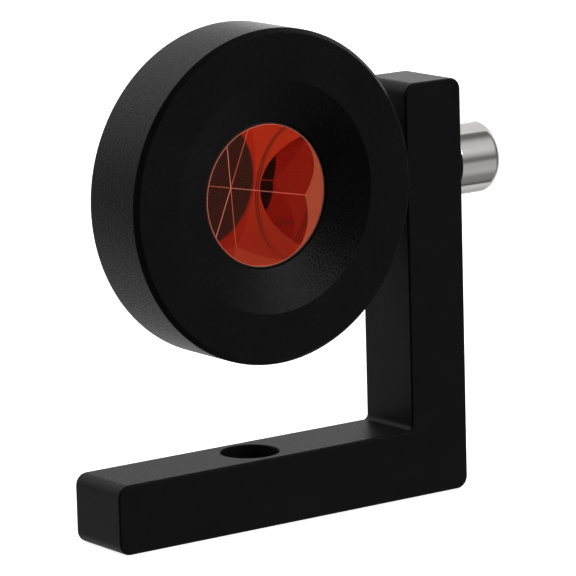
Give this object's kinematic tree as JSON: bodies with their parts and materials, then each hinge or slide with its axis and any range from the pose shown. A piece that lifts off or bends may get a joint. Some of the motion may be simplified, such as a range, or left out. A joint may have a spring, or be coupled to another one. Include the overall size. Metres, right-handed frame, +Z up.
{
  "type": "survey prism",
  "caption": "Round black prism head with a copper-coated glass corner cube behind a shallow cone, tilting on an L-shaped bar bracket, held by a plain stainless clamp screw.",
  "frame": {"origin": "on the underside of the foot, midway through its depth, directly below the middle of the upright", "axes": "+Z up, -Y the way the prism looks, +X out along the clamp screw"},
  "size_m": [0.0875, 0.0246, 0.0903],
  "materials": {
    "black_anodised_bracket": "fine sandblasted, black anodised",
    "black_anodised_head": "fine sandblasted, black anodised",
    "black_anodised_cover": "turned and sandblasted, black anodised",
    "black_anodised_inside": "turned, black anodised",
    "brushed_stainless": "fine turned",
    "stainless_washer": "smooth",
    "spring_steel": "oiled",
    "black_screw_steel": "black oxide",
    "bronze": "sintered",
    "nylon": "natural",
    "black_silicone": "matt",
    "copper_coated_glass": "polished glass, copper-coated back faces"
  },
  "bodies": {
    "bracket": {"l_bracket": "black_anodised_bracket", "pivot_bush": "bronze", "spring_seat_washer": "stainless_washer", "disc_spring_1": "spring_steel", "disc_spring_2": "spring_steel"},
    "head": {"head_housing": "black_anodised_head", "front_seal": "black_silicone", "prism_glass": "copper_coated_glass", "prism_cell": "black_anodised_inside", "retaining_ring": "black_anodised_inside", "prism_cushion": "black_silicone", "rear_seal": "black_silicone", "rear_cover": "black_anodised_cover", "cover_screw_1": "black_screw_steel", "cover_screw_2": "black_screw_steel", "cover_screw_3": "black_screw_steel", "cover_screw_4": "black_screw_steel", "friction_washer": "nylon"},
    "clamp_thrust": {"pressure_washer": "stainless_washer"},
    "clamp": {"clamp_screw": "brushed_stainless"}
  },
  "joints": [
    {"name": "head_tilt", "type": "hinge", "parent": "bracket", "child": "head", "pos_m": [0, 0, 0.0603], "axis": [1, 0, 0], "continuous": true},
    {"name": "clamp_travel", "type": "slide", "parent": "head", "child": "clamp_thrust", "axis": [1, 0, 0], "range_m": [0, 0.0008]},
    {"name": "clamp_turn", "type": "hinge", "parent": "clamp_thrust", "child": "clamp", "pos_m": [0, 0, 0.0603], "axis": [1, 0, 0], "range_deg": [0, 360]}
  ],
  "couplings": [
    {"joint": "clamp_turn", "follows": "clamp_travel", "rad_per_m": 7854}
  ]
}
